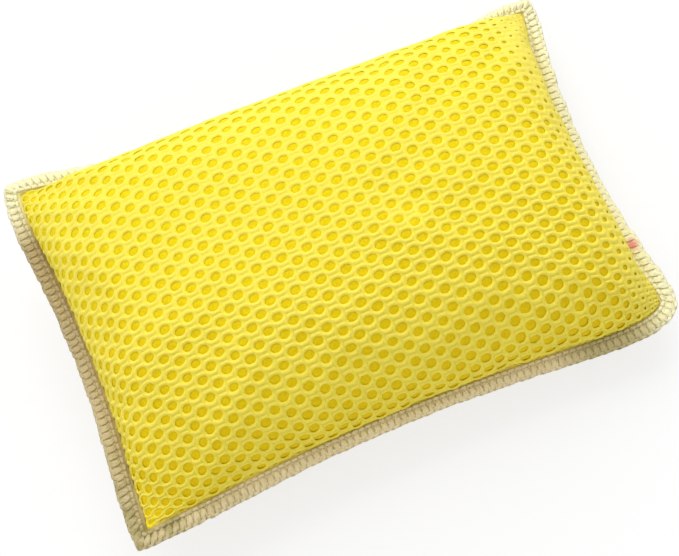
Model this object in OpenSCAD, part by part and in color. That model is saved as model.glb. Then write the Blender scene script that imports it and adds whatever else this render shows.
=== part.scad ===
// Cleaning sponge in a knitted net cover.
// A foam block lies inside two net panels. The panels meet in a flat seam allowance
// on all four sides, and three overlock threads bind its edge.
// Millimetres, +X along the length, +Z up, origin under the middle of the sponge.

/* [Body] */
// Length between the end seams, ear to ear
body_l = 130; // [100:1:160]
// Width between the long seams, ear to ear
body_w = 84.5; // [66:0.5:110]
// Rise of the upper bulge above the seam
top_h = 23.5; // [18:0.5:32]
// Height of the seam surface in the middle of the sponge
seam_h = 18; // [16:0.5:26]
// Depth that the table presses out of the lower bulge
pressed_flat = 2.5; // [0.5:0.5:5]

/* [Seam line] */
// Pull-in of the left end seam midway between its ears
pull_left = 2.3; // [0:0.1:7]
// Pull-in of the right end seam
pull_right = 7; // [0:0.1:8]
// Pull-in of the near long seam
pull_near = 4.4; // [0:0.1:7]
// Pull-in of the far long seam
pull_far = 7.5; // [0:0.1:8]
// How far the near left ear is drawn inward along the length
draw_near_left = 2.2; // [0:0.1:5]
// How far the far right ear is drawn inward along the length
draw_far_right = 1; // [0:0.1:5]
// How far the tip of the far left ear is rounded inward
ear_in_far_left = 2.1; // [-1:0.1:5]
// The same for the far right ear
ear_in_far_right = 2.6; // [-1:0.1:5]
// The same for the near right ear
ear_in_near_right = 4.5; // [-1:0.1:5]
// The same for the near left ear, which is drawn out
ear_in_near_left = -0.3; // [-1:0.1:5]
// Height of the far left ear above the middle of the seam surface
rise_far_left = 7.5; // [-9:0.5:8]
// Height of the far right ear
rise_far_right = -7.5; // [-9:0.5:8]
// Height of the near right ear
rise_near_right = -8; // [-9:0.5:8]
// Height of the near left ear
rise_near_left = 0.5; // [-9:0.5:8]
// Height that the left end seam adds midway between its ears
rise_left = -1; // [-4:0.5:4]

/* [Net] */
// Thickness of the knitted net at its ridges
net_t = 1.4; // [1.2:0.1:2]
// Depth of each hole's pit
hole_depth = 0.9; // [0.3:0.1:1]
// Spacing of the columns of holes
hole_pitch_x = 3.9; // [3.6:0.1:9]
// Spacing of the holes along a column
hole_pitch_y = 5; // [4.6:0.1:12]
// Plain gathered border between the holes and the seam
plain_edge = 4; // [2:0.5:12]

/* [Seam] */
// Width of the seam allowance
flange_w = 3.1; // [2.5:0.1:7]
// Thickness of each net layer where the seam presses it
flange_t = 0.7; // [0.5:0.1:1.2]
// Thickness of the layer of overlock thread
thread_t = 0.5; // [0.3:0.1:0.8]
// Width of the row of needle stitches
needle_w = 0.9; // [0.5:0.1:1.5]
// Slack between the threads and the net
thread_gap = 0.15; // [0.1:0.05:0.3]
// Height of the ripples along the seam's edge
ripple = 0.6; // [0:0.1:1.2]
// Ripples around the whole seam
ripples = 10; // [4:1:12]

/* [Foam] */
// Slack between the foam block and the net
foam_gap = 0.3; // [0.2:0.05:1]

/* [Hidden] */

half_l = body_l / 2;
half_w = body_w / 2;
// Exponents of the bulge toward the left and the right end: the first keeps it flat in
// the middle, and the second sets how steeply it meets the seam
left_bulge = [4.6, 0.86];
right_bulge = [3.3, 0.58];
// The same toward the near and the far long seam
near_bulge = [2.8, 0.94];
far_bulge = [3.7, 0.58];
// The seams are pulled in only close to the edge of the panel
pull_pow = 14;
near_pull_pow = 12;
// Fabric length over plan length, and how close to the seams its holes begin to crowd
stretch_x = 1.04;
stretch_y = 1.15;
crowd_x = 12;
crowd_y = 5.5;
// Stations along one side of the seam, crowded toward the ears
side_n = 17;
crowding = 0.09;
rim_n = 4 * side_n;
// Rings of the inner skins, as shares of the way from the middle to the seam
rings = [1, 0.97, 0.85, 0.6];
// The pits fill columns of threes: two ridge columns, then one of pits
cols = floor(2 * (half_l * stretch_x - plain_edge) / hole_pitch_x);
rows = floor(2 * (half_w * stretch_y - plain_edge) / hole_pitch_y);
fine_cols = 3 * cols + 1;
fine_rows = rows + 2;
reach_x = 1 - plain_edge / (half_l * stretch_x);
reach_y = 1 - plain_edge / (half_w * stretch_y);

function signed_pow(x, n) = sign(x) * pow(abs(x), n);
// Even steps along the fabric become plan steps that shrink toward the seam
function crowd(a, k, n) = sign(a) * (k * abs(a) - (k - 1) * pow(abs(a), n));
function plan_x(a) = crowd(a, stretch_x, crowd_x);
function plan_y(b) = crowd(b, stretch_y, crowd_y);

// Height of the seam surface: level in the middle, with the rise of each ear and of one end
function seam_z(s, t) =
    let (right = rise_far_right * (1 + t) + rise_near_right * (1 - t),
         left = rise_far_left * (1 + t) + rise_near_left * (1 - t),
         ears = ((1 + s) * right + (1 - s) * left) / 4,
         end = rise_left * (1 - s) / 2 * s * s * (1 - t * t))
    seam_h + pow(max(abs(s), abs(t)), 2) * ears + end;

// Share of the bulge's full height at plan share x, between 1 in the middle and 0
function bulge(x, shape) = pow(max(0, 1 - pow(abs(x), shape[0])), shape[1]);

// Point of a skin at plan shares s and t, with side 1 above the seam and -1 below it,
// and an inset that moves the skin inward
function skin(s, t, side, inset) =
    let (pull_x = s < 0 ? pull_left : pull_right,
         pull_y = t < 0 ? pull_near : pull_far,
         ear_in = t < 0 ? (s < 0 ? ear_in_near_left : ear_in_near_right)
                        : (s < 0 ? ear_in_far_left : ear_in_far_right),
         tip = ear_in * pow(s * t, 8),
         drawn = (draw_near_left * (1 - s) * (1 - t) - draw_far_right * (1 + s) * (1 + t)) / 4,
         x = (half_l - inset) * s - pull_x * signed_pow(s, pull_pow) * (1 - t * t)
           - tip * sign(s) + drawn,
         y = (half_w - inset) * t - tip * sign(t)
           - pull_y * signed_pow(t, t < 0 ? near_pull_pow : pull_pow) * (1 - s * s),
         dome = bulge(s, s < 0 ? left_bulge : right_bulge)
              * bulge(t, t < 0 ? near_bulge : far_bulge),
         rise = side > 0 ? (top_h - inset) * dome : -(seam_h + pressed_flat - inset) * dome)
    [x, y, max(inset, seam_z(s, t) + rise)];

// Outward direction of a panel at the fabric place a, b
function outward(a, b, side) =
    let (d = 0.01,
         along = fabric(a + d, b, side) - fabric(a - d, b, side),
         across = fabric(a, b + d, side) - fabric(a, b - d, side),
         normal = cross(along, across))
    side * normal / norm(normal);
function fabric(a, b, side) = skin(plan_x(a), plan_y(b), side, 0);

// Share of the way along a side at station i, and the station's place on the square
function along_side(i) = let (w = (i % side_n) / side_n) w - crowding * sin(360 * w);
function station(i) =
    let (a = 2 * along_side(i) - 1, j = floor(i / side_n) % 4)
    j == 0 ? [a, -1] : j == 1 ? [1, a] : j == 2 ? [-a, 1] : [-1, -a];

// Point of the seam allowance: out beyond the seam line and up from its middle layer
function seam_point(i, out, up) =
    let (p = station(i),
         away = [signed_pow(p[0], 8), signed_pow(p[1], 8)],
         edge = skin(p[0], p[1], 1, 0),
         plan = [edge[0], edge[1]] + out * away / norm(away),
         wave = ripple * sin(360 * ripples * i / rim_n) * out / flange_w)
    [plan[0], plan[1], edge[2] + up + wave];
function seam_ring(out, up) = [for (i = [0:rim_n - 1]) seam_point(i, out, up)];

// The uneven seams are centred by the outermost ring of thread
rim_edge = seam_ring(flange_w + thread_gap + thread_t, 0);
function mid_of(k) = (min([for (p = rim_edge) p[k]]) + max([for (p = rim_edge) p[k]])) / 2;
module centred() {
    translate([-mid_of(0), -mid_of(1), 0]) children();
}

// Ring of a skin at share k of the way to the seam, with every step-th station
function skin_ring(k, step, side, inset) =
    [for (i = [0:step:rim_n - 1]) let (p = k * station(i)) skin(p[0], p[1], side, inset)];

// A loop is a list of [index, place around the square], closed by its first point
function loop(first, step) =
    [for (i = [0:step:rim_n])
        [first + (i % rim_n) / step, i / side_n < 4 ? floor(i / side_n) + along_side(i) : 4]];

// Triangles between two loops, stepping along whichever of them lags
function lags(a, b, i, j) =
    j == len(b) - 1 ? 1 : i == len(a) - 1 ? 0 : a[i + 1][1] <= b[j + 1][1] ? 1 : 0;
function zip(a, b) =
    [for (i = 0, j = 0; i + j < len(a) + len(b) - 2; k = lags(a, b, i, j), i = i + k, j = j + 1 - k)
        lags(a, b, i, j) == 1 ? [a[i][0], b[j][0], a[i + 1][0]] : [a[i][0], b[j][0], b[j + 1][0]]];
function cap(a, middle) = [for (i = [0:len(a) - 2]) [a[i][0], middle, a[i + 1][0]]];
function flipped(faces) = [for (f = faces) [f[2], f[1], f[0]]];

// Honeycomb of the net. Column u holds the points v = 2 j + (u mod 2). Every third column
// is the floor of a column of pits, and the six points round each floor are ridges.
function comb(u, v) = u * fine_rows + floor(v / 2);
function comb_a(u) = reach_x * (2 * u / fine_cols - 1);
function comb_b(v) = reach_y * (2 * (v - 1) / (2 * rows + 1) - 1);
function comb_points(side) =
    [for (u = [0:fine_cols], j = [0:fine_rows - 1])
        let (a = comb_a(u),
             b = comb_b(2 * j + u % 2),
             sunk = u % 3 == 2 && j > 0 && j <= rows ? hole_depth : 0,
             p = fabric(a, b, side))
        sunk > 0 ? p - sunk * outward(a, b, side) : p];
function pit_faces(u, v) =
    let (hex = [comb(u + 2, v), comb(u + 1, v + 1), comb(u - 1, v + 1),
                comb(u - 2, v), comb(u - 1, v - 1), comb(u + 1, v - 1)])
    [for (k = [0:5]) [comb(u, v), hex[k], hex[(k + 1) % 6]]];
function pit_v(u, k) = 2 * k + 2 + u % 2;
function comb_faces() =
    [for (c = [0:cols - 1], k = [0:rows - 1], f = pit_faces(3 * c + 2, pit_v(3 * c + 2, k))) f];

// Edge of the honeycomb as a loop: near side, right, far side, left
function place_x(u) = (plan_x(comb_a(u)) / plan_x(reach_x) + 1) / 2;
function place_y(v) = (plan_y(comb_b(v)) / plan_y(reach_y) + 1) / 2;
function comb_loop() =
    let (last = 3 * cols - 1,
         near = [for (c = [0:cols - 1], e = [-1, 1])
             let (u = 3 * c + 2) [comb(u + e, pit_v(u, 0) - 1), place_x(u + e)]],
         right = [for (k = [0:rows - 1], e = [0, 1])
             let (v = pit_v(last, k) + e) [comb(last + 2 - e, v), 1 + place_y(v)]],
         far = [for (c = [cols - 1:-1:0], e = [1, -1])
             let (u = 3 * c + 2) [comb(u + e, pit_v(u, rows - 1) + 1), 3 - place_x(u + e)]],
         left = [for (k = [rows - 1:-1:0], e = [1, 0])
             let (v = pit_v(2, k) + e) [comb(e, v), 4 - place_y(v)]])
    concat(near, [for (p = right) if (p[0] != far[0][0]) p], far,
           [for (p = left) if (p[0] != far[len(far) - 1][0]) p], [[near[0][0], 4]]);

// One net panel: pitted outer skin, seam allowance and plain inner skin, as a closed solid
module net_panel(side) {
    outer = comb_points(side);
    seam = [seam_ring(0, side * flange_t), seam_ring(flange_w, side * flange_t),
            seam_ring(flange_w, 0)];
    inner = [skin_ring(rings[0], 1, side, net_t),
             for (k = [1:3]) skin_ring(rings[k], k == 3 ? 4 : 2, side, net_t)];
    middle = skin(0, 0, side, net_t);
    n0 = len(outer);
    n1 = n0 + 3 * rim_n;
    n2 = n1 + rim_n;
    n3 = n2 + rim_n;
    inner_loops = [loop(n1, 1), loop(n2, 2), loop(n2 + rim_n / 2, 2), loop(n3, 4)];
    loops = concat([comb_loop(), loop(n0, 1), loop(n0 + rim_n, 1), loop(n0 + 2 * rim_n, 1)],
                   inner_loops);
    points = concat(outer, [for (r = concat(seam, inner), p = r) p], [middle]);
    faces = concat(comb_faces(), [for (k = [0:len(loops) - 2], f = zip(loops[k], loops[k + 1])) f],
                   cap(inner_loops[3], len(points) - 1));
    centred() polyhedron(points, side > 0 ? flipped(faces) : faces, convexity = 6);
}

module foam_core() {
    inset = net_t + foam_gap;
    half = rim_n / 2;
    above = [for (k = [0:3]) skin_ring(rings[k], k == 3 ? 4 : 2, 1, inset)];
    below = [for (k = [1:3]) skin_ring(rings[k], k == 3 ? 4 : 2, -1, inset)];
    points = concat([for (r = above, p = r) p], [for (r = below, p = r) p],
                    [skin(0, 0, 1, inset), skin(0, 0, -1, inset)]);
    n = 3 * half + rim_n / 4;
    up = [loop(0, 2), loop(half, 2), loop(2 * half, 2), loop(3 * half, 4)];
    down = [loop(0, 2), loop(n, 2), loop(n + half, 2), loop(n + 2 * half, 4)];
    top_faces = concat([for (k = [0:2], f = zip(up[k], up[k + 1])) f],
                       cap(up[3], len(points) - 2));
    low_faces = concat([for (k = [0:2], f = zip(down[k], down[k + 1])) f],
                       cap(down[3], len(points) - 1));
    color([0.9, 0.76, 0.1])
        centred() polyhedron(points, concat(top_faces, flipped(low_faces)), convexity = 4);
}

module cover_top() {
    color([0.98, 0.92, 0.33]) net_panel(1);
}

module cover_bottom() {
    color([0.98, 0.92, 0.33]) net_panel(-1);
}

// Closed band with the given section along the whole seam, as [out, up] points in order
module seam_band(section, side) {
    rings = [for (p = section) seam_ring(p[0], side * p[1])];
    m = len(section);
    loops = [for (k = [0:m]) loop((k % m) * rim_n, 1)];
    faces = [for (k = [0:m - 1], f = zip(loops[k], loops[k + 1])) f];
    centred() polyhedron([for (r = rings, p = r) p], side > 0 ? faces : flipped(faces),
                         convexity = 4);
}

// The row of needle stitches lies along the seam line, inside the looper thread
needle_up = flange_t + thread_gap;
module needle_thread() {
    color([0.86, 0.8, 0.58])
        seam_band([[0.2, needle_up], [0.2 + needle_w, needle_up],
                   [0.2 + needle_w / 2, needle_up + thread_t]], 1);
}

// Each looper thread lies over one face of the seam and turns round its edge to the middle
looper_in = 0.2 + needle_w + thread_gap;
function looper_section() =
    let (under = flange_t + thread_gap, edge = flange_w + thread_gap)
    [[looper_in, under], [edge, under], [edge, 0], [edge + thread_t, 0],
     [flange_w, under + thread_t], [looper_in, under + thread_t]];

module upper_looper_thread() {
    color([0.96, 0.92, 0.76]) seam_band(looper_section(), 1);
}

module lower_looper_thread() {
    color([0.96, 0.92, 0.76]) seam_band(looper_section(), -1);
}

foam_core();
cover_top();
cover_bottom();
needle_thread();
upper_looper_thread();
lower_looper_thread();
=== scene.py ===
import bpy
import numpy as np
from mathutils import Matrix, Vector


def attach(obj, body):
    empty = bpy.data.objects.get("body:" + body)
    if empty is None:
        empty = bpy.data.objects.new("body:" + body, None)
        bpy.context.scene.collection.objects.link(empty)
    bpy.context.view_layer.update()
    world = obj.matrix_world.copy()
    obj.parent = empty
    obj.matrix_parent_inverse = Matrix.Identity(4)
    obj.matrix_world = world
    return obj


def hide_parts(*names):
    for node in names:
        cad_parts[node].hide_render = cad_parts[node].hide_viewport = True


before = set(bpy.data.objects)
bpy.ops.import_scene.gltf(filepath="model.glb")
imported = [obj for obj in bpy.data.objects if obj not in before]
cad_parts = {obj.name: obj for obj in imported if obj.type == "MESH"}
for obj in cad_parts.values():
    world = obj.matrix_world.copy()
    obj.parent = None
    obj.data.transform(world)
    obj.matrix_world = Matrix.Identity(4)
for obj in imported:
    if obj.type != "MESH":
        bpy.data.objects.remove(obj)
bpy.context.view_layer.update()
scene = bpy.context.scene

# ---------------------------------------------------------------- camera and studio
# Middle of the sponge's uneven outline in plan, which is the frame's origin
centre = np.array([-0.976, -0.928, 0.0])
# The camera looks steeply down on the sponge from the near side, rolled so that the
# long seams rise to the right. Its lens is that of a frame 679 pixels wide.
tilt, swing, roll = np.radians((73.154, 0.936, 23.622))
focal_px, frame_px, distance = 1400, 679, 300.33
back = np.array([np.sin(swing) * np.cos(tilt), -np.cos(swing) * np.cos(tilt), np.sin(tilt)])
level = np.array([np.cos(swing), np.sin(swing), 0.0])
above = np.cross(back, level)
right = np.cos(roll) * level - np.sin(roll) * above
up = np.sin(roll) * level + np.cos(roll) * above
aim = np.array([-2.787, -9.279, 30.0]) - centre
camera = bpy.data.objects.new("camera", bpy.data.cameras.new("camera"))
scene.collection.objects.link(camera)
camera.data.sensor_width = 36
camera.data.lens = focal_px / frame_px * camera.data.sensor_width
camera.data.clip_start, camera.data.clip_end = 0.01, 20
camera.matrix_world = Matrix.Translation(Vector((aim + distance * back) / 1000)) @ Matrix(
    np.stack([right, up, back], 1).tolist()).to_4x4()
scene.camera = camera
scene.view_settings.view_transform = "Standard"


def linear(red, green, blue):
    """Linear colour of a screen colour given from 0 to 255: the power 2.4 of each channel's
    share, shifted a little, and a straight line for the darkest."""
    c = np.array([red, green, blue]) / 255
    return (*np.where(c > 0.04045, ((c + 0.055) / 1.055) ** 2.4, c / 12.92).tolist(), 1.0)


def nodes_of(tree, kind, links=None, **values):
    """A new node in the tree, with its properties, its input values and its links."""
    node = tree.nodes.new(kind)
    for name, value in values.items():
        setattr(node, name, value)
    for name, value in (links or {}).items():
        if isinstance(value, bpy.types.NodeSocket):
            tree.links.new(value, node.inputs[name])
        else:
            node.inputs[name].default_value = value
    return node


def maths(tree, operation, first, second):
    """Output of a math node, such as the product or the larger of two values."""
    return nodes_of(tree, "ShaderNodeMath", {0: first, 1: second}, operation=operation).outputs[0]


def two_shaders(tree, share, first, second, ending):
    """Mixes two shaders by a share and joins them to the tree's end."""
    mixed = nodes_of(tree, "ShaderNodeMixShader",
                     {0: share, 1: first.outputs[0], 2: second.outputs[0]})
    nodes_of(tree, ending, {0: mixed.outputs[0]})


# A soft lamp stands high on the far side, a weak one fills the near left side, and
# the white surroundings give the rest. The floor is white, with the sponge's shadow.
for name, place, size, watts in (("key_lamp", (0.12, 0.62, 0.70), 0.80, 7.3),
                                 ("fill_lamp", (-0.5, -0.5, 0.8), 0.9, 2.1)):
    lamp = bpy.data.objects.new(name, bpy.data.lights.new(name, "AREA"))
    scene.collection.objects.link(lamp)
    lamp.data.size, lamp.data.energy = size, watts
    lamp.location = place
    lamp.rotation_euler = (Vector((0, 0, 0.02)) - Vector(place)).to_track_quat("-Z", "Y").to_euler()

world = bpy.data.worlds.new("surroundings")
scene.world = world
world.use_nodes = True
tree = world.node_tree
tree.nodes.clear()
ray = nodes_of(tree, "ShaderNodeLightPath")
seen = maths(tree, "MAXIMUM", ray.outputs["Is Camera Ray"], ray.outputs["Is Glossy Ray"])
seen = maths(tree, "MAXIMUM", seen, ray.outputs["Is Transmission Ray"])
dim = nodes_of(tree, "ShaderNodeBackground", {"Color": (1, 1, 1, 1), "Strength": 0.64})
white = nodes_of(tree, "ShaderNodeBackground", {"Color": (1, 1, 1, 1), "Strength": 1.0})
two_shaders(tree, seen, dim, white, "ShaderNodeOutputWorld")

floor_mesh = bpy.data.meshes.new("floor")
floor_mesh.from_pydata([(-2, -2, 0), (2, -2, 0), (2, 2, 0), (-2, 2, 0)], [], [(0, 1, 2, 3)])
floor = bpy.data.objects.new("floor", floor_mesh)
scene.collection.objects.link(floor)
paint = bpy.data.materials.new("white_floor")
floor_mesh.materials.append(paint)
paint.use_nodes = True
tree = paint.node_tree
tree.nodes.clear()
ray = nodes_of(tree, "ShaderNodeLightPath")
seen = maths(tree, "MULTIPLY", ray.outputs["Is Camera Ray"], 0.72)
matt = nodes_of(tree, "ShaderNodeBsdfDiffuse", {"Color": (0.85, 0.85, 0.85, 1)})
glow = nodes_of(tree, "ShaderNodeEmission", {"Color": (1, 1, 1, 1), "Strength": 1.0})
two_shaders(tree, seen, matt, glow, "ShaderNodeOutputMaterial")

# ---------------------------------------------------------------- form of the cover
# Two net panels are sewn together round a foam block. The seam is pulled in between
# the ears, the upper panel bulges 23.5 mm over it, and the table presses the lower one flat.
half_l, half_w, top_h, seam_h, pressed = 65.0, 42.25, 23.5, 18.0, 2.5
stretch_x, stretch_y = 1.04, 1.15


def signed_pow(x, n):
    """The size of x to the power n, with the sign of x."""
    return np.sign(x) * np.abs(x) ** n


def crowd(a, k, n):
    """Plan share of a place on the fabric, k times the place less k - 1 times its power n, so
    that even steps of fabric shrink toward the seam."""
    return np.sign(a) * (k * np.abs(a) - (k - 1) * np.abs(a) ** n)


def plan(a, b):
    """Plan shares of a place on the fabric, which crowd in other ways toward each seam."""
    return (crowd(a, np.where(a < 0, 1.036, 1.063), np.where(a < 0, 14, 9.5)),
            crowd(b, np.where(b < 0, 1.137, 1.15), np.where(b < 0, 5.5, 7.67)))


def seam_height(s, t):
    """Level in the middle, and bent up or down to each ear and along the left seam, by the
    square of how far out the place is."""
    ears = ((1 + s) * (-7.5 * (1 + t) - 8 * (1 - t))
            + (1 - s) * (7.5 * (1 + t) + 0.5 * (1 - t))) / 4
    end = -0.5 * (1 - s) * s ** 2 * (1 - t ** 2)
    return seam_h + np.maximum(abs(s), abs(t)) ** 2 * ears + end


def bulge(x, low, high):
    """Share of the full height at plan share x: 1 less a power of x, to a second power. The
    first power of a side keeps it flat in the middle, and the second sets how steeply it
    meets the seam."""
    flat, steep = np.where(x < 0, low[0], high[0]), np.where(x < 0, low[1], high[1])
    return np.maximum(0, 1 - np.abs(x) ** flat) ** steep


def skin(s, t, side, inset=0.0):
    """Point of the skin at plan shares s and t, side 1 above the seam and -1 below it. The
    plan is a rectangle with each side pulled in between its ears, the ears' tips rounded off
    and the left near and right far ears drawn inward. The rise over the seam is a dome that
    is flat in the middle and steep at the seam, and the table stops it below."""
    tip = np.where(t < 0, np.where(s < 0, 0.4, 4.7), np.where(s < 0, 2.1, 2.6)) * (s * t) ** 8
    drawn = (2.2 * (1 - s) * (1 - t) - 1.0 * (1 + s) * (1 + t)) / 4
    x = ((half_l - inset) * s
         - signed_pow(s, 14) * np.where(s < 0, 3.2 * (1 - t ** 2), 8.2 * (1 - np.abs(t) ** 2.8)))
    y = ((half_w - inset) * t
         - np.where(t < 0, 4.2 * signed_pow(t, 12) * (1 - s ** 2),
                    7.5 * signed_pow(t, 14) * (1 - np.abs(s) ** 3)))
    dome = bulge(s, (4.6, 0.86), (3.3, 0.58)) * bulge(t, (2.8, 0.94), (3.7, 0.58))
    rise = np.where(side > 0, top_h - inset, -(seam_h + pressed - inset)) * dome
    z = np.maximum(inset, seam_height(s, t) + rise)
    return np.stack([x - tip * np.sign(s) + drawn, y - tip * np.sign(t), z], -1) - centre


# Cloth simulation of the empty cover, sewn and blown up by its filling, gives the puckers
# that gather along the seam. Only the fine part of its movement is used, 0.5 mm at most.
cells_a, cells_b, last_frame = 72, 48, 20
puckers = {side: np.zeros((cells_a + 1, cells_b + 1, 3)) for side in (1, -1)}


def blurred(field, passes):
    """Repeated mean of each point, counted twice, and its four neighbours on the grid."""
    for _ in range(passes):
        wide = np.pad(field, ((1, 1), (1, 1), (0, 0)), "edge")
        field = (wide[1:-1, 1:-1] * 2 + wide[:-2, 1:-1] + wide[2:, 1:-1] + wide[1:-1, :-2]
                 + wide[1:-1, 2:]) / 6
    return field


ga, gb = np.meshgrid(np.linspace(-1, 1, cells_a + 1), np.linspace(-1, 1, cells_b + 1),
                     indexing="ij")
start = {side: skin(*plan(ga, gb), side) for side in (1, -1)}
inside = (abs(ga) < 1) & (abs(gb) < 1)
index = {1: np.arange(ga.size).reshape(ga.shape), -1: np.arange(ga.size).reshape(ga.shape)}
index[-1][inside] = ga.size + np.arange(inside.sum())
points = np.concatenate([start[1].reshape(-1, 3), start[-1][inside]]) / 1000
faces = []
for side in (1, -1):
    g = index[side]
    quads = np.stack([g[:-1, :-1], g[1:, :-1], g[1:, 1:], g[:-1, 1:]], -1).reshape(-1, 4)
    faces.append(quads if side > 0 else quads[:, ::-1])
shell_mesh = bpy.data.meshes.new("cover_trial")
shell_mesh.from_pydata(points.tolist(), [], np.concatenate(faces).tolist())
shell = bpy.data.objects.new("cover_trial", shell_mesh)
scene.collection.objects.link(shell)
shell.vertex_groups.new(name="sewn").add(
    [int(i) for i in index[1][~inside]], 1.0, "REPLACE")
cloth = shell.modifiers.new("cloth", "CLOTH")
cloth.settings.quality = 6
cloth.settings.mass = 0.15
cloth.settings.tension_stiffness = cloth.settings.compression_stiffness = 20
cloth.settings.bending_stiffness = 0.05
cloth.settings.vertex_group_mass = "sewn"
cloth.settings.shrink_min = -0.045
cloth.settings.use_pressure = True
cloth.settings.uniform_pressure_force = 4
cloth.settings.effector_weights.gravity = 0
cloth.collision_settings.use_collision = False
scene.frame_start, scene.frame_end = 1, last_frame
for number in range(1, last_frame + 1):
    scene.frame_set(number)
settled = shell.evaluated_get(bpy.context.evaluated_depsgraph_get()).data
moved = np.zeros(len(points) * 3, np.float32)
settled.vertices.foreach_get("co", moved)
moved = moved.reshape(-1, 3) * 1000
for side in (1, -1):
    shift = moved[index[side]] - start[side]
    fine = shift - blurred(shift, 40)
    length = np.linalg.norm(fine, axis=-1, keepdims=True)
    share, most = 0.7, 0.5
    fine *= np.minimum(share, most / np.maximum(length, 1e-9))
    fine[~inside] = 0
    puckers[side] = blurred(fine, 1)
    # the sewn edge stays put, so that both halves meet there
    puckers[side][~inside] = 0
scene.frame_set(1)
bpy.data.objects.remove(shell)
bpy.data.meshes.remove(shell_mesh)


def pucker(a, b, side):
    """Movement by the puckers at a place on the fabric, linear between the grid's points."""
    x, y = (a + 1) * cells_a / 2, (b + 1) * cells_b / 2
    i, j = np.minimum(x.astype(int), cells_a - 1), np.minimum(y.astype(int), cells_b - 1)
    u, v = (x - i)[..., None], (y - j)[..., None]
    g = puckers[side]
    return ((g[i, j] * (1 - u) + g[i + 1, j] * u) * (1 - v)
            + (g[i, j + 1] * (1 - u) + g[i + 1, j + 1] * u) * v)


def fabric(a, b, side, inset=0.0):
    """Point of the cover at a place on the fabric, puckers included."""
    p = skin(*plan(a, b), side, inset) + pucker(a, b, side)
    p[..., 2] = np.maximum(p[..., 2], inset)
    return p


def outward(a, b, side):
    """Unit normal of the cover, from points a small step apart along and across it."""
    step = 0.012
    along = fabric(np.minimum(a + step, 1), b, side) - fabric(np.maximum(a - step, -1), b, side)
    across = fabric(a, np.minimum(b + step, 1), side) - fabric(a, np.maximum(b - step, -1), side)
    n = np.cross(along, across) * side
    return n / np.maximum(np.linalg.norm(n, axis=-1, keepdims=True), 1e-9)


def piece(name, points, faces, material):
    """A smooth mesh object from points in millimetres, riding on the root body."""
    mesh = bpy.data.meshes.new(name)
    mesh.from_pydata((np.asarray(points) / 1000).tolist(), [], [tuple(f) for f in faces])
    mesh.materials.append(material)
    mesh.polygons.foreach_set("use_smooth", np.ones(len(mesh.polygons), bool))
    mesh.update()
    made = bpy.data.objects.new(name, mesh)
    scene.collection.objects.link(made)
    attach(made, "root")
    return made


# ---------------------------------------------------------------- foam block
# A block of open-cell polyurethane foam fills the cover and shows, golden and in
# shade, through every hole of the net. It is cut to the cover and squeezed by it.
foam_paint = bpy.data.materials.new("golden_foam")
foam_paint.use_nodes = True
tree = foam_paint.node_tree
shader = tree.nodes["Principled BSDF"]
place = nodes_of(tree, "ShaderNodeTexCoord").outputs["Object"]


def colour_mix(tree, share, first, second, **values):
    """Colour output of a mix of two colours, by a share from the first to the second."""
    return nodes_of(tree, "ShaderNodeMix", {0: share, 6: first, 7: second}, data_type="RGBA",
                    **values).outputs[2]


def ramp(tree, value, low, high, start=0.0, end=1.0):
    """A value that goes evenly from start to end while its input goes from low to high."""
    return nodes_of(tree, "ShaderNodeMapRange",
                    {0: value, 1: low, 2: high, 3: start, 4: end}).outputs[0]


cells = nodes_of(tree, "ShaderNodeTexVoronoi", {"Vector": place, "Scale": 1500.0}, feature="F1")
# painted light: the foam's colour warms toward the shaded near side, standing in for light bounced
# between the cords
across = ramp(tree, nodes_of(tree, "ShaderNodeSeparateXYZ", {0: place}).outputs["Y"], 0.030, -0.034)
painted_bounce_warmth = colour_mix(tree, across, linear(228, 213, 10), linear(234, 202, 8))
shade = colour_mix(tree, cells.outputs["Distance"], painted_bounce_warmth, linear(214, 186, 4))
bump = nodes_of(tree, "ShaderNodeBump", {"Height": cells.outputs["Distance"], "Distance": 0.00012,
                                         "Strength": 0.5}, invert=True)
tree.links.new(shade, shader.inputs["Base Color"])
tree.links.new(bump.outputs[0], shader.inputs["Normal"])
shader.inputs["Roughness"].default_value = 0.9
shader.inputs["Specular IOR Level"].default_value = 0.2

# The net presses its pattern into the foam, which bulges a little in each hole. One mesh of
# the net is a hexagon, in sixths of the column pitch and quarters of the row pitch.
sixths, quarters = 6, 4
hexagon = np.array([(4, 0), (3, 1), (2, 2), (0, 2), (-2, 2), (-3, 1), (-4, 0), (-3, -1), (-2, -2),
                    (0, -2), (2, -2), (3, -1)])
corners = len(hexagon)
to_mm = np.array([half_l * stretch_x / 23.485 / sixths, half_w * stretch_y / 13.14 / quarters])


def on_cloth(p):
    """Shares of the half length and width of fabric at lattice places p. The count of meshes
    from the middle differs from side to side, because the seams aren't quite central."""
    u, v = p[..., 0] / sixths - 1.434, -(p[..., 1] / quarters + 3.54)
    return np.stack([u / np.where(u < 0, 23.4, 24.0), v / np.where(v < 0, 13.0, 13.14)], -1)


# more columns and lines of meshes than a panel holds, cut down to those that reach into it
columns, lines = np.meshgrid(np.arange(-24, 27), np.arange(-19, 12), indexing="ij")
middle = np.stack([columns * sixths, lines * quarters + columns % 2 * 2], -1).reshape(-1, 2)
middle = middle[(np.abs(on_cloth(middle[:, None] + hexagon)) < 1).all(-1).any(-1)]
spots, shared = np.unique((middle[:, None] + hexagon).reshape(-1, 2), axis=0, return_inverse=True)
shared = shared.reshape(-1, corners)
# The holes are ovals, with these half widths in mm, turned 10 degrees from the length
long_r, short_r, turned = 1.2, 0.84, 0.17
spoke = hexagon * to_mm
bearing = np.arctan2(-spoke[:, 1], spoke[:, 0])
oval = 1 / np.hypot(np.cos(bearing - turned) / long_r, np.sin(bearing - turned) / short_r)
oval = spoke / np.linalg.norm(spoke, axis=1, keepdims=True) * oval[:, None]


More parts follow.
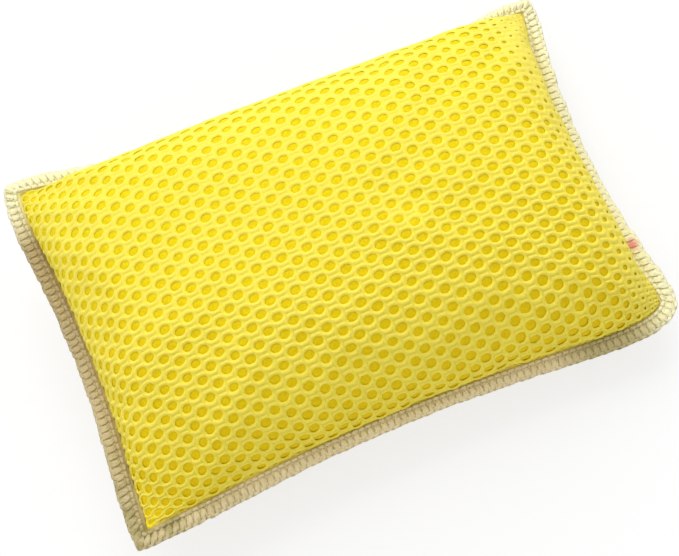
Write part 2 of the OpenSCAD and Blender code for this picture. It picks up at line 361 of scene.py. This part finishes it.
def seated(flat, side, height, inset=0.0):
    """Points at lattice places, raised along the cover's normal. Toward the far side the net
    is stretched, which makes all depths shallower. Near the seam the height thins to nothing,
    and places beyond it are drawn to it."""
    ab = np.clip(on_cloth(flat), -1, 1)
    depth = 1 - 0.32 * np.clip((ab[:, 1] + 0.3) / 0.7, 0, 1)
    height = height * depth + inset * (1 - depth)
    edge = np.minimum((1 - abs(ab[:, 0])) * half_l, (1 - abs(ab[:, 1])) * half_w)
    thinning_mm, just_inside = 1.6, 0.985
    thin = np.clip(edge / thinning_mm, 0, 1) ** 0.6
    normal = outward(ab[:, 0] * just_inside, ab[:, 1] * just_inside, side)
    points = fabric(ab[:, 0], ab[:, 1], side, inset) + normal * (height * thin)[:, None]
    points[:, 2] = np.maximum(points[:, 2], inset if side < 0 else 0.5)
    return points, ab


def welded(points, faces):
    """Points in the same micrometre become one, and triangles that lose a corner are dropped."""
    _, first, merged = np.unique(np.round(points, 3), axis=0, return_index=True,
                                 return_inverse=True)
    faces = merged.ravel()[faces]
    tris = np.concatenate([faces[:, [0, 1, 2]], faces[:, [0, 2, 3]]])
    return first, tris[(tris != np.roll(tris, 1, 1)).all(1)]


def between(loops, ab):
    """Quads from each loop of a mesh to the next one. Those that have shrunk to a line along
    the seam are left out."""
    quads = np.concatenate([
        np.stack([a, np.roll(a, -1, 1), np.roll(b, -1, 1), b], -1).reshape(-1, 4)
        for a, b in zip(loops[:-1], loops[1:])])
    return quads[~(np.abs(ab).max(1) >= 1)[quads].all(1)]


# under the cords, round each bulge and on top of it, and how deep the foam lies in the cover
pressed_mm, round_mm, bulge_mm, foam_inset = -0.36, -0.03, 0.0, 0.46
bulge_share = 0.9
n, m = len(middle), len(spots)
ring = m + np.arange(n * corners).reshape(n, corners)
core = (m + n * corners + np.arange(n))[:, None] + np.zeros((1, corners), int)
flat = np.concatenate([spots, (middle[:, None] + bulge_share * oval / to_mm).reshape(-1, 2),
                       middle])
height = np.concatenate([np.full(m, pressed_mm), np.full(n * corners, round_mm),
                         np.full(n, bulge_mm)])
foam_points, foam_faces = [], []
for side in (1, -1):
    points, ab = seated(flat, side, height, foam_inset)
    quads = between([shared, ring, core], ab)
    foam_faces.append((quads if side < 0 else quads[:, ::-1]) + len(flat) * (side < 0))
    foam_points.append(points)
foam_points = np.concatenate(foam_points)
first, tris = welded(foam_points, np.concatenate(foam_faces))
used, tris = np.unique(tris, return_inverse=True)
foam = piece("foam_block", foam_points[first][used], tris.reshape(-1, 3), foam_paint)
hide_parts("foam_core")

# ---------------------------------------------------------------- net panels
# Each panel is warp-knitted net: soft cords wave along the length, meet in pairs with a
# fine groove between them, and leave an oval hole in each mesh. It is cut with a 3 mm
# allowance, which lies flat under the overlock threads.
net_paint = bpy.data.materials.new("yellow_net")
net_paint.use_nodes = True
tree = net_paint.node_tree
shader = tree.nodes["Principled BSDF"]
place = nodes_of(tree, "ShaderNodeTexCoord")
hole_shade_and_allowance = nodes_of(tree, "ShaderNodeAttribute", attribute_name="hole_shade_and_allowance")
patches = nodes_of(tree, "ShaderNodeTexNoise", {"Vector": place.outputs["Object"], "Scale": 45.0,
                                                "Detail": 2.0})
crest = colour_mix(tree, patches.outputs[0], linear(250, 231, 84), linear(253, 236, 98))
# painted shade: the net's colour turns golden down the walls of the holes and in the grooves
crest_and_painted_hole_shade = colour_mix(tree, hole_shade_and_allowance.outputs["Fac"], crest, linear(250, 230, 28))


def spot_mask(tree, vector, middle_of, far, near, strongest=1.0):
    """A mask that grows evenly as a point nears a place, from far to near in metres."""
    away = nodes_of(tree, "ShaderNodeVectorMath", {0: vector, 1: middle_of}, operation="DISTANCE")
    return ramp(tree, away.outputs["Value"], far, near, 0.0, strongest)


# The left and near seams are painted tan as shade, except at the far left and near right ears.
# The seam's colouring is a group, because the threads over the allowance share it.
seam_tone = bpy.data.node_groups.new("seam_tone", "ShaderNodeTree")
# inputs: the lit colour, the tan of painted shade, and the soil colour, which also paints a fold's
# shadow
for name, kind in (("Vector", "NodeSocketVector"), ("Light", "NodeSocketColor"),
                   ("ShadedTan", "NodeSocketColor"), ("SoilAndFoldShadow", "NodeSocketColor")):
    seam_tone.interface.new_socket(name, in_out="INPUT", socket_type=kind)
seam_tone.interface.new_socket("Color", in_out="OUTPUT", socket_type="NodeSocketColor")
given = seam_tone.nodes.new("NodeGroupInput").outputs
spot = nodes_of(seam_tone, "ShaderNodeSeparateXYZ", {0: given["Vector"]}).outputs
left_seam = maths(seam_tone, "MULTIPLY", ramp(seam_tone, spot["X"], -0.050, -0.059),
                  ramp(seam_tone, spot["Y"], 0.040, 0.028))
near_seam = maths(seam_tone, "MULTIPLY", ramp(seam_tone, spot["Y"], -0.030, -0.036),
                  ramp(seam_tone, spot["X"], 0.060, 0.050))
# the near left ear is soiled in blotches, and the fold under the near right ear has painted shadow
# all over
blotches = nodes_of(seam_tone, "ShaderNodeTexNoise", {"Vector": given["Vector"], "Scale": 260.0,
                                                      "Detail": 3.0, "Roughness": 0.65})
speckle = ramp(seam_tone, blotches.outputs[0], 0.42, 0.62, 0.25)
near_tip = spot_mask(seam_tone, given["Vector"], (-0.064, -0.040, 0.018), 0.028, 0.008)
fold_shadow = spot_mask(seam_tone, given["Vector"], (0.048, -0.0415, 0.012), 0.014, 0.005, 0.8)
soil_and_fold_shadow = maths(seam_tone, "MAXIMUM", maths(seam_tone, "MULTIPLY", speckle, near_tip), fold_shadow)
# painted shade: the left seam is darker and browner than the near one, most at its far end
left_shade = maths(seam_tone, "MULTIPLY", ramp(seam_tone, spot["Y"], -0.040, 0.026, 0.3), left_seam)
painted_left_shade = colour_mix(seam_tone, left_shade, given["ShadedTan"], (0.56, 0.51, 0.41, 1.0),
                    blend_type="MULTIPLY")
toned = colour_mix(seam_tone, maths(seam_tone, "MAXIMUM", left_seam, near_seam), given["Light"],
                   painted_left_shade)
toned = colour_mix(seam_tone, soil_and_fold_shadow, toned, given["SoilAndFoldShadow"])
seam_tone.links.new(toned, seam_tone.nodes.new("NodeGroupOutput").inputs["Color"])

# the allowance, seen between the threads, is darker than they are
under = nodes_of(tree, "ShaderNodeGroup", node_tree=seam_tone)
tree.links.new(place.outputs["Object"], under.inputs["Vector"])
under.inputs["Light"].default_value = linear(246, 236, 168)
# painted shade: the allowance's tan on the left and near seams
under.inputs["ShadedTan"].default_value = linear(236, 214, 154)
# the soil colour also paints the shadow in the fold under the near right ear
under.inputs["SoilAndFoldShadow"].default_value = linear(168, 150, 92)
sewn = ramp(tree, hole_shade_and_allowance.outputs["Fac"], 1.0, 2.0)
colour = colour_mix(tree, sewn, crest_and_painted_hole_shade, under.outputs[0])
yarn = nodes_of(tree, "ShaderNodeTexWave", {"Vector": place.outputs["UV"], "Scale": 2.4,
                                            "Distortion": 5.0, "Detail": 2.0, "Detail Scale": 1.5},
                bands_direction="X")
ribbed = nodes_of(tree, "ShaderNodeBump", {"Height": yarn.outputs["Fac"], "Distance": 0.00012,
                                           "Strength": 0.5})
# the grain of fine fibres over a coarser normal is a group, because the threads share it
grain = bpy.data.node_groups.new("fine_grain", "ShaderNodeTree")
for name, kind in (("Vector", "NodeSocketVector"), ("Scale", "NodeSocketFloat"),
                   ("Depth", "NodeSocketFloat"), ("Normal", "NodeSocketVector")):
    grain.interface.new_socket(name, in_out="INPUT", socket_type=kind)
grain.interface.new_socket("Normal", in_out="OUTPUT", socket_type="NodeSocketVector")
given = grain.nodes.new("NodeGroupInput").outputs
noise = nodes_of(grain, "ShaderNodeTexNoise", {"Vector": given["Vector"], "Scale": given["Scale"],
                                               "Detail": 3.0, "Roughness": 0.6})
bump = nodes_of(grain, "ShaderNodeBump", {"Height": noise.outputs[0], "Distance": given["Depth"],
                                          "Normal": given["Normal"]})
grain.links.new(bump.outputs[0], grain.nodes.new("NodeGroupOutput").inputs["Normal"])
fuzz = nodes_of(tree, "ShaderNodeGroup", node_tree=grain)
tree.links.new(place.outputs["Object"], fuzz.inputs["Vector"])
tree.links.new(ribbed.outputs[0], fuzz.inputs["Normal"])
fuzz.inputs["Scale"].default_value = 2600.0
fuzz.inputs["Depth"].default_value = 0.00008
tree.links.new(colour, shader.inputs["Base Color"])
tree.links.new(fuzz.outputs["Normal"], shader.inputs["Normal"])
shader.inputs["Roughness"].default_value = 0.72
shader.inputs["Specular IOR Level"].default_value = 0.25
shader.inputs["Sheen Weight"].default_value = 0.15
shader.inputs["Sheen Roughness"].default_value = 0.5
shader.inputs["Sheen Tint"].default_value = linear(255, 244, 150)

# The cords pair up along the upper and lower sides of each mesh, with a groove between them
# that runs on from the pointed ends of the holes to the left and right. Each ring of a mesh
# has its share of the way from the hole to the border, and the heights there of a single
# cord, of a paired cord and of the valley at a hole's end.
paired = np.array([0, 0, 1, 1, 1, 0, 0, 0, 1, 1, 1, 0])
ends = np.array([1, 0, 0, 0, 0, 0, 1, 0, 0, 0, 0, 0])
rings = np.array([(1.00, 0.00, -0.44, -0.40), (0.74, -0.04, -0.11, -0.36),
                  (0.44, -0.14, 0.00, -0.36), (0.19, -0.29, -0.17, -0.40),
                  (0.04, -0.43, -0.39, -0.44), (0.00, -0.47, -0.47, -0.47)])
underside, flange_w, flange_t = -0.80, 3.1, 0.7


def seam_point(round_share, out, up):
    """Point of the seam allowance at a share of the way round the seam, out beyond the
    seam line and up from the middle layer. The stations crowd toward the ears and the edge
    ripples 10 times on its way round. It is wider at the near left ear and along the right
    seam, and narrower along the near one."""
    q = np.mod(round_share, 1) * 4
    side_of = np.minimum(np.floor(q), 3).astype(int)
    w = q - side_of
    a = 2 * (w - 0.09 * np.sin(2 * np.pi * w)) - 1
    one = np.ones_like(a)
    s = np.choose(side_of, [a, one, -a, -one])
    t = np.choose(side_of, [-one, a, one, -a])
    away = np.stack([signed_pow(s, 8), signed_pow(t, 8)], -1)
    away /= np.linalg.norm(away, axis=-1, keepdims=True)
    p = skin(s, t, 1)
    out = out * (1 + 0.15 * ((1 - t) * (1 - s) / 4) ** 6
                 + 0.25 * np.maximum(s, 0) ** 8 * (1 - t ** 2)
                 - 0.18 * np.maximum(-t, 0) ** 8 * (1 - s ** 2))
    wave = 0.6 * np.sin(2 * np.pi * 10 * round_share) * out / flange_w
    return np.stack([p[..., 0] + out * away[..., 0], p[..., 1] + out * away[..., 1],
                     p[..., 2] + up + wave], -1)


def lay_map(made, name, places):
    """A map of the piece that gives each corner of a face its point's place, in mm."""
    at_corner = np.zeros(len(made.data.loops), int)
    made.data.loops.foreach_get("vertex_index", at_corner)
    made.data.uv_layers.new(name=name).data.foreach_set("uv", places[at_corner].ravel())


def net_panel(name, side, node, seed):
    """One panel of net. Rings of points on top and down the edge of each hole, and the border
    points that neighbours share, on top and below, make one surface with holes in it."""
    rng = np.random.default_rng(seed)
    ab = on_cloth(middle)
    # holes shrink toward the right seam, most at the far right ear, close at the ears' tips and
    # in the last row before the near seam, and vary a little
    near_right = np.clip((ab[:, 0] + 0.08 * np.clip(ab[:, 1], 0, 1) - 0.75) / 0.13, 0, 1)
    tip = np.clip((np.abs(ab).prod(1) - 0.84) / 0.08, 0, 1)
    size = (1 - 0.76 * near_right) * np.where(ab[:, 1] < -0.95, 0.4, 1) * (1 - 0.5 * tip)
    size = size * (1 + 0.04 * rng.standard_normal(n).clip(-2, 2))
    ragged = 1 + 0.03 * rng.standard_normal((n, corners, 1)).clip(-2, 2)
    hole = oval * size[:, None, None] * ragged
    # the net is stretched across the seam low on the near wall
    hole[..., 1] *= 1 + 0.45 * np.clip((-ab[:, 1, None] - 0.55) / 0.35, 0, 1)
    groove = np.zeros(m)
    groove[shared] = np.maximum(paired, ends)
    flats, heights = [spots], [rings[0, 2] * groove]
    for share, single, double, end in rings[1:]:
        ring = middle[:, None] + (hole * (1 - share) + spoke * share) / to_mm
        flats.append(ring.reshape(-1, 2))
        relief = np.tile(single * (1 - paired - ends) + double * paired + end * ends, n)
        heights.append(relief * (1 - 0.5 * np.repeat(near_right, corners)))
    flats.append(spots)
    heights.append(np.full(m, underside))
    # how far the colour has turned golden, a painted shade of light bounced between the cords, less
    # in the grooves than in the holes
    hole_shades_and_allowance = [np.clip((-h - 0.05) / 0.5, 0, 1) ** 1.2 for h in heights]
    hole_shades_and_allowance[0] = hole_shades_and_allowance[0] * 0.5
    points, ab = seated(np.concatenate(flats), side, np.concatenate(heights))
    own = m + np.arange((len(rings) - 1) * n * corners).reshape(-1, n, corners)
    quads = between([shared, *own, m + own.size + shared], ab)
    if side > 0:
        quads = quads[:, ::-1]
    # the allowance: a flat strip round the panel, closed, with a rounded edge
    count, round_seam = 420, 430
    u = np.arange(count) / count
    section = np.array([(-0.6, 0.3), (0.25, flange_t), (flange_w - 0.3, flange_t),
                        (flange_w, flange_t - 0.3), (flange_w, 0.02), (-0.6, 0.02)])
    strip = np.stack([seam_point(u, o, h * side) for o, h in section], 1)
    at = len(points) + np.arange(count * len(section)).reshape(count, -1)
    around, beside = np.roll(at, -1, 0), np.roll(at, -1, 1)
    band = np.stack([at, around, np.roll(around, -1, 1), beside], -1).reshape(-1, 4)
    if side > 0:
        band = band[:, ::-1]
    points = np.concatenate([points, strip.reshape(-1, 3)])
    hole_shades_and_allowance = np.concatenate([*hole_shades_and_allowance, np.full(at.size, 2.0)])
    strip_mm = np.stack([np.repeat(u * round_seam, len(section)),
                         np.tile(section[:, 0], count)], -1)
    cloth_mm = np.concatenate([ab * np.array([half_l * stretch_x, half_w * stretch_y]), strip_mm])
    first, tris = welded(points, np.concatenate([quads, band]))
    print(name, "triangles", len(tris), "meshes", n)
    made = piece(name, points[first], tris, net_paint)
    made.data.attributes.new("hole_shade_and_allowance", "FLOAT", "POINT").data.foreach_set("value", hole_shades_and_allowance[first])
    lay_map(made, "cloth", cloth_mm[first])
    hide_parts(node)


net_panel("upper_net", 1, "cover_top", 3)
net_panel("lower_net", -1, "cover_bottom", 5)

# ---------------------------------------------------------------- overlock threads
# The needle thread is a row of short stitches along the seam line. Two textured looper
# threads zigzag beside it over each face of the allowance and turn round its edge.
thread_paint = bpy.data.materials.new("cream_thread")
thread_paint.use_nodes = True
tree = thread_paint.node_tree
shader = tree.nodes["Principled BSDF"]
place = nodes_of(tree, "ShaderNodeTexCoord")
mottle = nodes_of(tree, "ShaderNodeTexNoise", {"Vector": place.outputs["Object"], "Scale": 330.0,
                                               "Detail": 4.0, "Roughness": 0.7})
cream = colour_mix(tree, mottle.outputs[0], linear(255, 251, 218), linear(250, 240, 172))
# painted shade: the tan copy of the thread, for the left and near seams
shaded_tan = colour_mix(tree, mottle.outputs[0], linear(250, 234, 190), linear(220, 198, 138))
toned = nodes_of(tree, "ShaderNodeGroup", node_tree=seam_tone)
tree.links.new(place.outputs["Object"], toned.inputs["Vector"])
tree.links.new(cream, toned.inputs["Light"])
tree.links.new(shaded_tan, toned.inputs["ShadedTan"])
# the soil colour also paints the shadow in the fold under the near right ear
toned.inputs["SoilAndFoldShadow"].default_value = linear(176, 162, 104)
# a small soft pink mark on the right seam
mark = spot_mask(tree, place.outputs["Object"],
                 tuple(seam_point(np.array(0.328), 2.1, 0.8) / 1000), 0.0020, 0.0005)
colour = colour_mix(tree, mark, toned.outputs[0], linear(242, 150, 138))
twist = nodes_of(tree, "ShaderNodeTexWave", {"Vector": place.outputs["UV"], "Scale": 1.2,
                                             "Distortion": 1.5, "Detail": 1.0},
                 bands_direction="DIAGONAL")
plied = nodes_of(tree, "ShaderNodeBump", {"Height": twist.outputs["Fac"], "Distance": 0.00012,
                                          "Strength": 0.6})
fuzz = nodes_of(tree, "ShaderNodeGroup", node_tree=grain)
tree.links.new(place.outputs["Object"], fuzz.inputs["Vector"])
tree.links.new(plied.outputs[0], fuzz.inputs["Normal"])
fuzz.inputs["Scale"].default_value = 2200.0
fuzz.inputs["Depth"].default_value = 0.00022
tree.links.new(colour, shader.inputs["Base Color"])
tree.links.new(fuzz.outputs["Normal"], shader.inputs["Normal"])
shader.inputs["Roughness"].default_value = 0.85
shader.inputs["Specular IOR Level"].default_value = 0.2
shader.inputs["Sheen Weight"].default_value = 0.2

# even steps along the middle of the seam, whatever way the stations crowd
stitch_mm, fine_share = 1.6, np.linspace(0, 1, 4001)


def length_along(path):
    """Length of a path up to each of its points."""
    return np.concatenate([[0], np.cumsum(np.linalg.norm(np.diff(path, axis=0), axis=1))])


run = length_along(seam_point(fine_share, 1.5, 0))
stitches = int(round(run[-1] / stitch_mm))


def share_at(steps):
    """Share of the way round the seam after a number of stitches."""
    return np.interp(np.mod(steps / stitches, 1) * run[-1], run, fine_share)


def thread(name, node, path, width, thick, sides):
    """A closed tube of oval section along a closed path of points, wide across the path
    and thick along the seam's own upward direction turned square to the path."""
    ahead = np.roll(path, -1, 0) - np.roll(path, 1, 0)
    ahead /= np.linalg.norm(ahead, axis=1, keepdims=True)
    across = np.cross(ahead, [0.0, 0, 1.0])
    across /= np.maximum(np.linalg.norm(across, axis=1, keepdims=True), 0.05)
    over = np.cross(across, ahead)
    over /= np.linalg.norm(over, axis=1, keepdims=True)
    across = np.cross(ahead, over)
    turn = np.arange(sides) / sides * 2 * np.pi
    tube = (path[:, None] + across[:, None] * (np.cos(turn) * width / 2)[None, :, None]
            + over[:, None] * (np.sin(turn) * thick / 2)[None, :, None])
    at = np.arange(len(path) * sides).reshape(-1, sides)
    ahead_at, beside = np.roll(at, -1, 0), np.roll(at, -1, 1)
    quads = np.stack([at, ahead_at, np.roll(beside, -1, 0), beside], -1).reshape(-1, 4)
    made = piece(name, tube.reshape(-1, 3), quads, thread_paint)
    lay_map(made, "ply", np.stack([np.repeat(length_along(path), sides),
                                   np.tile(turn, len(path))], -1))
    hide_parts(node)
    print(name, "triangles", 2 * len(quads))


# the needle thread lies on the allowance and dips into it once in each stitch
per_stitch = 10
steps = np.arange(stitches * per_stitch) / per_stitch
beat = steps % 1
dip = 0.55 * np.exp(-((beat - 0.5) / 0.16) ** 2)
needle_path = seam_point(share_at(steps), 0.62 + 0 * steps, flange_t + 0.35 - dip)
thread("needle_stitches", "needle_thread", needle_path, 0.8, 0.5, 8)

for name, node, side, lag in (("upper_looper", "upper_looper_thread", 1, 0.0),
                              ("lower_looper", "lower_looper_thread", -1, 0.5)):
    per_stitch = 14
    steps = np.arange(stitches * per_stitch) / per_stitch
    beat = (steps + lag) % 1
    # both strands of a stitch meet inside and run side by side round the edge, and no two
    # stitches reach quite as far out
    away = np.clip(np.minimum(beat, 1 - beat) / 0.22, 0, 1)
    away = away ** 2 * (3 - 2 * away)
    reach = 0.10 * np.random.default_rng(11).standard_normal(stitches).clip(-2, 2)
    reach = reach[np.floor(steps + lag).astype(int) % stitches]
    inner = 1.2
    out = inner + (flange_w + 0.2 + reach - inner) * away
    lift = flange_t + 0.12 - 0.62 * np.clip((away - 0.75) / 0.25, 0, 1) ** 2
    thread(name, node, seam_point(share_at(steps), out, lift * side), 1.12, 0.3, 8)
